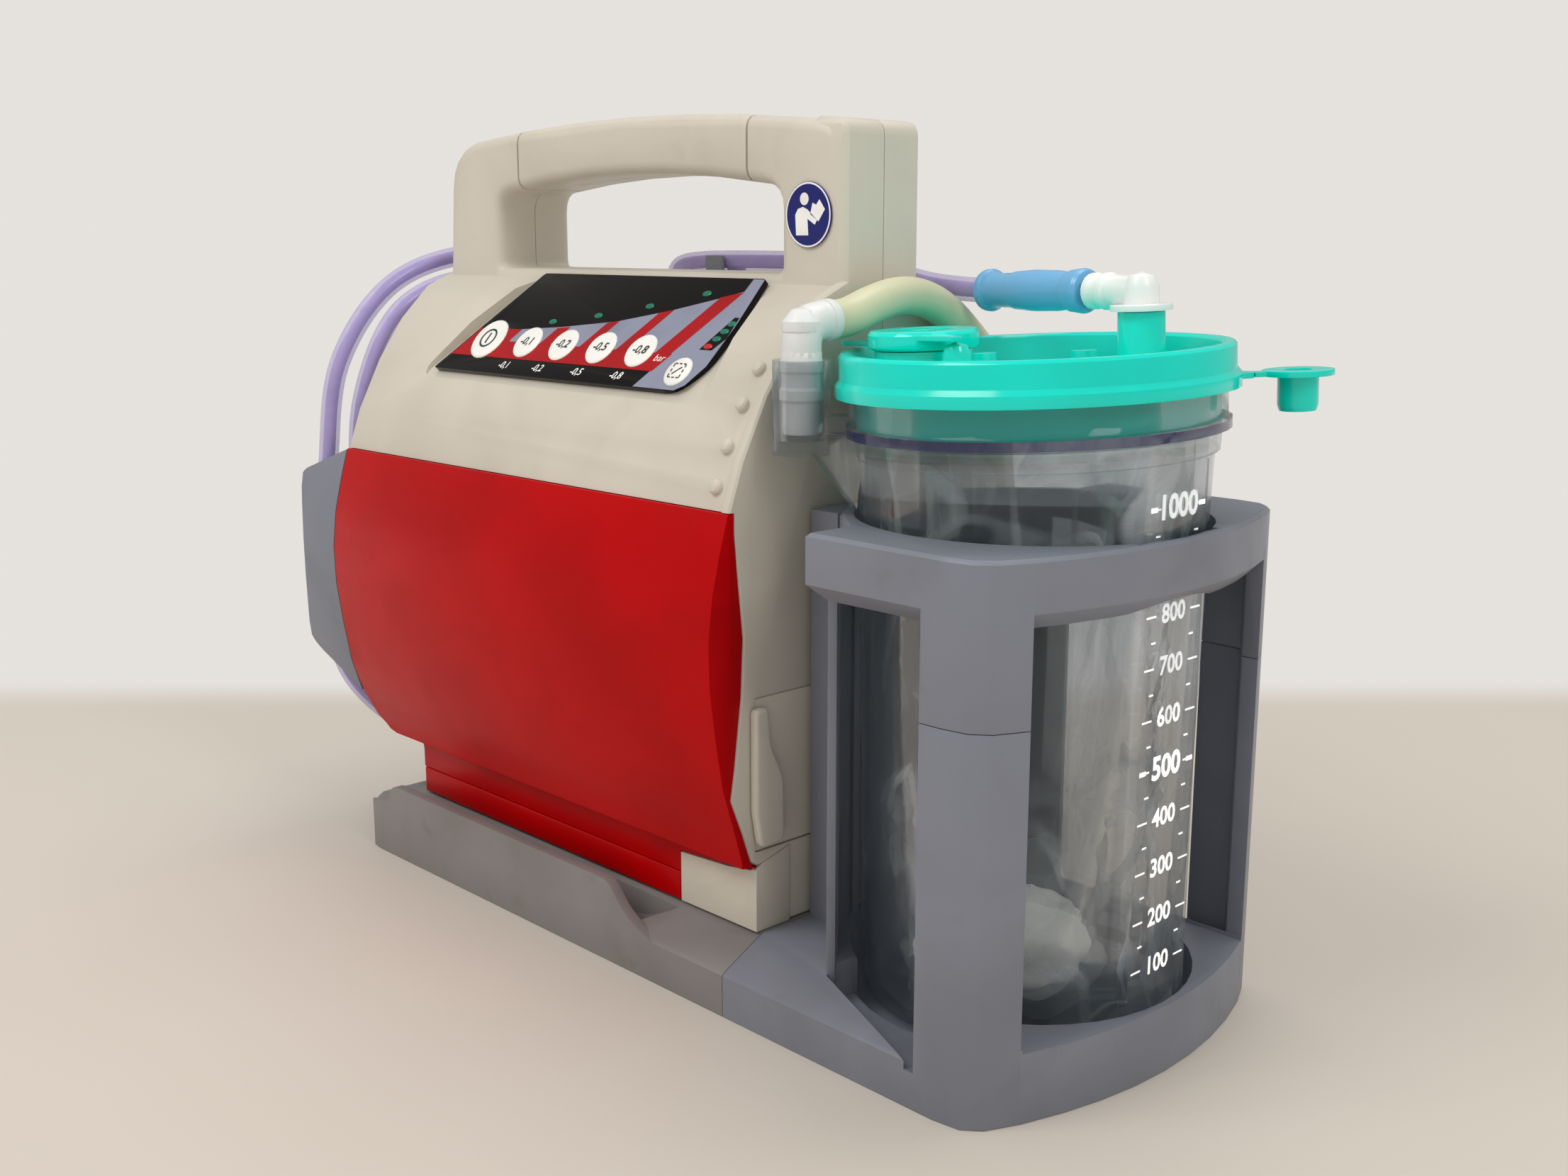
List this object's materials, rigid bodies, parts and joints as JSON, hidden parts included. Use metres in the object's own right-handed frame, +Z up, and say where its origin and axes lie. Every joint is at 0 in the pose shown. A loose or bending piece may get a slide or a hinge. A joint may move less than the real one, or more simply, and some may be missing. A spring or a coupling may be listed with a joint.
{
  "type": "suction pump",
  "caption": "Portable battery suction pump with a carrying handle, angled key panel, clear collection canister in an open holder, and coiled suction tubing",
  "frame": {"origin": "on the floor plane, midway along the base (tray and canister holder) and on its mid-plane front to back", "axes": "+Z up, -Y toward the front with the key panel, +X toward the canister end"},
  "size_m": [0.414, 0.1808, 0.304],
  "materials": {
    "casing_plastic": "fine textured moulding",
    "cover_plastic": "satin moulding",
    "tray_plastic": "fine textured moulding",
    "holder_plastic": "fine textured moulding",
    "panel_foil": "printed membrane foil",
    "key_plastic": "smooth",
    "label_foil": "smooth sticker",
    "rubber_black": "matt",
    "steel": "zinc plated",
    "clear_plastic": "clear polycarbonate",
    "liner_film": "thin clear film",
    "sachet_paper": "non-woven pouch",
    "turquoise_plastic": "smooth flexible moulding",
    "white_plastic": "smooth",
    "grey_plastic": "satin",
    "silicone": "milky silicone",
    "tube_pvc": "soft translucent tubing",
    "blue_pvc": "soft moulding",
    "motor_metal": "painted",
    "pump_plastic": "moulded",
    "battery_wrap": "shrink wrap",
    "board": "solder mask"
  },
  "bodies": {
    "pump": {"front_casing": "casing_plastic", "rear_casing": "casing_plastic", "skirt_corner": "casing_plastic", "battery_door": "casing_plastic", "front_cover": "cover_plastic", "plinth_strip": "cover_plastic", "base_tray": "tray_plastic", "holder_frame": "holder_plastic", "holder_ring": "holder_plastic", "hose_guide": "holder_plastic", "tube_clip_left": "holder_plastic", "tube_clip_right": "holder_plastic", "control_panel": "panel_foil", "label_disc": "label_foil", "rubber_foot_1": "rubber_black", "rubber_foot_2": "rubber_black", "rubber_foot_3": "rubber_black", "rubber_foot_4": "rubber_black", "charge_socket": "rubber_black", "case_screw_1": "steel", "case_screw_2": "steel", "case_screw_3": "steel", "case_screw_4": "steel", "canister": "clear_plastic", "fingertip_connector": "clear_plastic", "liner_bag": "liner_film", "gel_sachet": "sachet_paper", "lid": "turquoise_plastic", "patient_elbow": "white_plastic", "exhaust_muffler": "white_plastic", "vacuum_elbow": "grey_plastic", "inlet_port": "grey_plastic", "vacuum_hose": "silicone", "inner_hose": "silicone", "suction_tube": "tube_pvc", "tube_connector": "blue_pvc", "pump_motor": "motor_metal", "pump_head": "pump_plastic", "battery_pack": "battery_wrap", "circuit_board": "board"},
    "power_key": {"power_key": "key_plastic"},
    "vacuum_key_1": {"vacuum_key_1": "key_plastic"},
    "vacuum_key_2": {"vacuum_key_2": "key_plastic"},
    "vacuum_key_3": {"vacuum_key_3": "key_plastic"},
    "vacuum_key_4": {"vacuum_key_4": "key_plastic"},
    "check_key": {"check_key": "key_plastic"},
    "battery_latch": {"battery_latch": "casing_plastic"},
    "gel_cap": {"gel_cap": "turquoise_plastic"},
    "port_plug": {"port_plug": "turquoise_plastic"},
    "motor_shaft": {"motor_shaft": "steel"},
    "socket_flap": {"socket_flap": "rubber_black"}
  },
  "joints": [
    {"name": "power_key_press", "type": "slide", "parent": "pump", "child": "power_key", "axis": [0, 0.745, -0.667], "range_m": [0, 0.0006], "stiffness_N_per_m": 600, "springref_m": -0.0005},
    {"name": "vacuum_key_1_press", "type": "slide", "parent": "pump", "child": "vacuum_key_1", "axis": [0, 0.745, -0.667], "range_m": [0, 0.0006], "stiffness_N_per_m": 600, "springref_m": -0.0005},
    {"name": "vacuum_key_2_press", "type": "slide", "parent": "pump", "child": "vacuum_key_2", "axis": [0, 0.745, -0.667], "range_m": [0, 0.0006], "stiffness_N_per_m": 600, "springref_m": -0.0005},
    {"name": "vacuum_key_3_press", "type": "slide", "parent": "pump", "child": "vacuum_key_3", "axis": [0, 0.745, -0.667], "range_m": [0, 0.0006], "stiffness_N_per_m": 600, "springref_m": -0.0005},
    {"name": "vacuum_key_4_press", "type": "slide", "parent": "pump", "child": "vacuum_key_4", "axis": [0, 0.745, -0.667], "range_m": [0, 0.0006], "stiffness_N_per_m": 600, "springref_m": -0.0005},
    {"name": "check_key_press", "type": "slide", "parent": "pump", "child": "check_key", "axis": [0, 0.745, -0.667], "range_m": [0, 0.0006], "stiffness_N_per_m": 600, "springref_m": -0.0005},
    {"name": "battery_latch_flex", "type": "hinge", "parent": "pump", "child": "battery_latch", "pos_m": [0.0543, -0.0565, 0.0566], "axis": [0, 1, 0], "range_deg": [0, 20], "stiffness_Nm_per_rad": 0.3, "springref_deg": -2.86},
    {"name": "gel_cap_open", "type": "hinge", "parent": "pump", "child": "gel_cap", "pos_m": [0.06296, -0.02717, 0.22481], "axis": [0.0005, -0.9995, -0.0316], "range_deg": [0, 14]},
    {"name": "port_plug_swing", "type": "hinge", "parent": "pump", "child": "port_plug", "pos_m": [0.16857, 0.05101, 0.21685], "axis": [0.7313, -0.682, 0.0005], "range_deg": [-25, 60], "stiffness_Nm_per_rad": 0.02, "springref_deg": 0.69},
    {"name": "motor_shaft_spin", "type": "hinge", "parent": "pump", "child": "motor_shaft", "pos_m": [-0.109, 0.004, 0.12], "axis": [1, 0, 0], "continuous": true},
    {"name": "socket_flap_lift", "type": "hinge", "parent": "pump", "child": "socket_flap", "pos_m": [0, 0.0774, 0.084], "axis": [1, 0, 0], "range_deg": [0, 90]}
  ]
}
